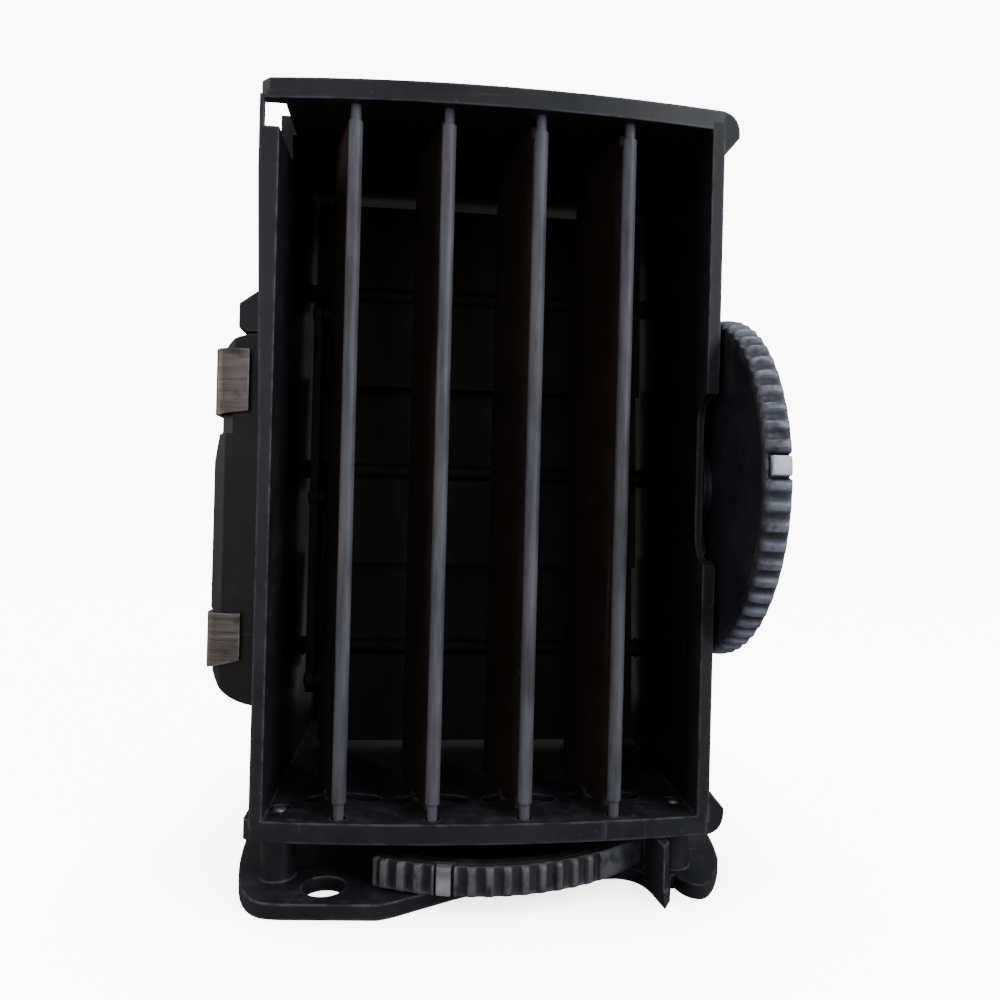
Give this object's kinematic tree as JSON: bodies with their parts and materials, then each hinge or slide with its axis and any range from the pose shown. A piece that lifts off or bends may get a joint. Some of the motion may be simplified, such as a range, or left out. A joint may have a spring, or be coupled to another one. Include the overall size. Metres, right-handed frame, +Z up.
{
  "type": "dashboard air vent",
  "caption": "Tall rectangular car dashboard air vent: bowed front, upright turning fins, shut-off vanes behind, side thumbwheel, thumb sector below and a screw bracket.",
  "frame": {"origin": "centre of the bounding box's bottom face, on the underside of the lower bracket", "axes": "+Z up along the fins, +Y into the duct away from the driver, +X towards the thumbwheel"},
  "size_m": [0.0776, 0.0796, 0.1097],
  "materials": {
    "black_plastic": "moulded, worn satin, dusty",
    "fin_plastic": "satin, light dust and handling wear on the noses",
    "grip_plastic": "satin, knurls polished by fingers",
    "index_mark": "smooth pale insert",
    "spring_metal": "browned spring steel with drawn streaks",
    "zinc_steel": "zinc plated",
    "foam": "open-cell foam"
  },
  "bodies": {
    "duct": {"housing": "black_plastic", "rear_collar": "black_plastic", "foam_seal": "foam", "lower_bracket": "black_plastic", "bracket_screw_1": "zinc_steel", "bracket_screw_2": "zinc_steel", "bracket_screw_3": "zinc_steel", "bracket_screw_4": "zinc_steel", "side_rail": "black_plastic", "rail_screw_1": "zinc_steel", "rail_screw_2": "zinc_steel", "spring_clip_upper": "spring_metal", "spring_clip_lower": "spring_metal", "sector_pivot_pin": "zinc_steel", "sector_clip": "zinc_steel", "wheel_washer": "zinc_steel", "wheel_screw": "zinc_steel"},
    "sector": {"thumb_sector": "grip_plastic", "sector_index_mark": "index_mark"},
    "fin_1": {"fin_1": "fin_plastic"},
    "fin_2": {"fin_2": "fin_plastic"},
    "fin_3": {"fin_3": "fin_plastic"},
    "fin_4": {"fin_4": "fin_plastic"},
    "fin_link": {"fin_link_bar": "black_plastic"},
    "wheel": {"thumbwheel": "grip_plastic", "wheel_index_mark": "index_mark"},
    "vane_top": {"rear_vane_top": "black_plastic"},
    "vane_middle": {"rear_vane_middle": "black_plastic", "vane_gear": "black_plastic"},
    "vane_bottom": {"rear_vane_bottom": "black_plastic"},
    "vane_link": {"vane_link_bar": "black_plastic"}
  },
  "joints": [
    {"name": "sector_turn", "type": "hinge", "parent": "duct", "child": "sector", "pos_m": [0.0023, 0.0036, 0.0042], "axis": [0, 0, 1], "range_deg": [-10.7, 32.1]},
    {"name": "fin_1_turn", "type": "hinge", "parent": "duct", "child": "fin_1", "pos_m": [-0.0177, -0.02435, 0.0584], "axis": [0, 0, 1], "range_deg": [-45, 15]},
    {"name": "fin_2_turn", "type": "hinge", "parent": "duct", "child": "fin_2", "pos_m": [-0.0053, -0.02502, 0.0584], "axis": [0, 0, 1], "range_deg": [-45, 15]},
    {"name": "fin_3_turn", "type": "hinge", "parent": "duct", "child": "fin_3", "pos_m": [0.0071, -0.02502, 0.0584], "axis": [0, 0, 1], "range_deg": [-45, 15]},
    {"name": "fin_4_turn", "type": "hinge", "parent": "duct", "child": "fin_4", "pos_m": [0.0195, -0.02435, 0.0584], "axis": [0, 0, 1], "range_deg": [-45, 15]},
    {"name": "fin_link_turn", "type": "hinge", "parent": "fin_2", "child": "fin_link", "pos_m": [-0.00737, -0.01729, 0.0073], "axis": [0, 0, 1], "range_deg": [-15, 45]},
    {"name": "wheel_turn", "type": "hinge", "parent": "duct", "child": "wheel", "pos_m": [0.0351, -0.0152, 0.0565], "axis": [1, 0, 0], "range_deg": [0, 85]},
    {"name": "vane_top_turn", "type": "hinge", "parent": "duct", "child": "vane_top", "pos_m": [0.00175, 0.0088, 0.0888], "axis": [1, 0, 0], "range_deg": [-85, 0]},
    {"name": "vane_middle_turn", "type": "hinge", "parent": "duct", "child": "vane_middle", "pos_m": [0.00175, 0.0088, 0.0584], "axis": [1, 0, 0], "range_deg": [-85, 0]},
    {"name": "vane_bottom_turn", "type": "hinge", "parent": "duct", "child": "vane_bottom", "pos_m": [0.00175, 0.0088, 0.028], "axis": [1, 0, 0], "range_deg": [-85, 0]},
    {"name": "vane_link_turn", "type": "hinge", "parent": "vane_middle", "child": "vane_link", "pos_m": [-0.0255, 0.00364, 0.05367], "axis": [1, 0, 0], "range_deg": [0, 85]}
  ],
  "couplings": [
    {"joint": "fin_1_turn", "follows": "sector_turn", "ratio": -1.4},
    {"joint": "fin_2_turn", "follows": "sector_turn", "ratio": -1.4},
    {"joint": "fin_3_turn", "follows": "sector_turn", "ratio": -1.4},
    {"joint": "fin_4_turn", "follows": "sector_turn", "ratio": -1.4},
    {"joint": "fin_link_turn", "follows": "sector_turn", "ratio": 1.4},
    {"joint": "vane_top_turn", "follows": "wheel_turn", "ratio": -1},
    {"joint": "vane_middle_turn", "follows": "wheel_turn", "ratio": -1},
    {"joint": "vane_bottom_turn", "follows": "wheel_turn", "ratio": -1},
    {"joint": "vane_link_turn", "follows": "wheel_turn", "ratio": 1}
  ]
}
